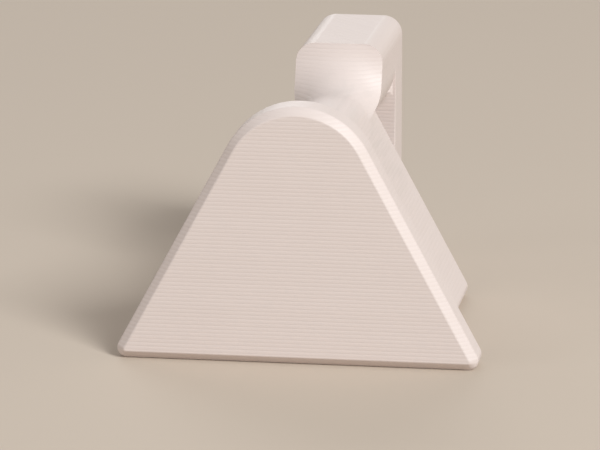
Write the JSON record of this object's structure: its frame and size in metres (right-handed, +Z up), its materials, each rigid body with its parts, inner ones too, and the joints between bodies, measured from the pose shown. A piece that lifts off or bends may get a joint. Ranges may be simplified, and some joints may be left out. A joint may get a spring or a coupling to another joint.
{
  "type": "pegboard hook",
  "caption": "One-piece plastic hook for a slotted panel: a wedge-shaped saddle with a rounded triangular lip in front, and a peg that drops behind the panel.",
  "frame": {"origin": "centre of the neck's section, in the plane of the panel's front face", "axes": "+X to the right, +Y into the panel, +Z up; the front of the hook faces -Y"},
  "size_m": [0.0184, 0.0242, 0.0134],
  "materials": {
    "white_plastic": "satin white printed plastic"
  },
  "bodies": {
    "root": {"pegboard_hook": "white_plastic"}
  },
  "joints": []
}
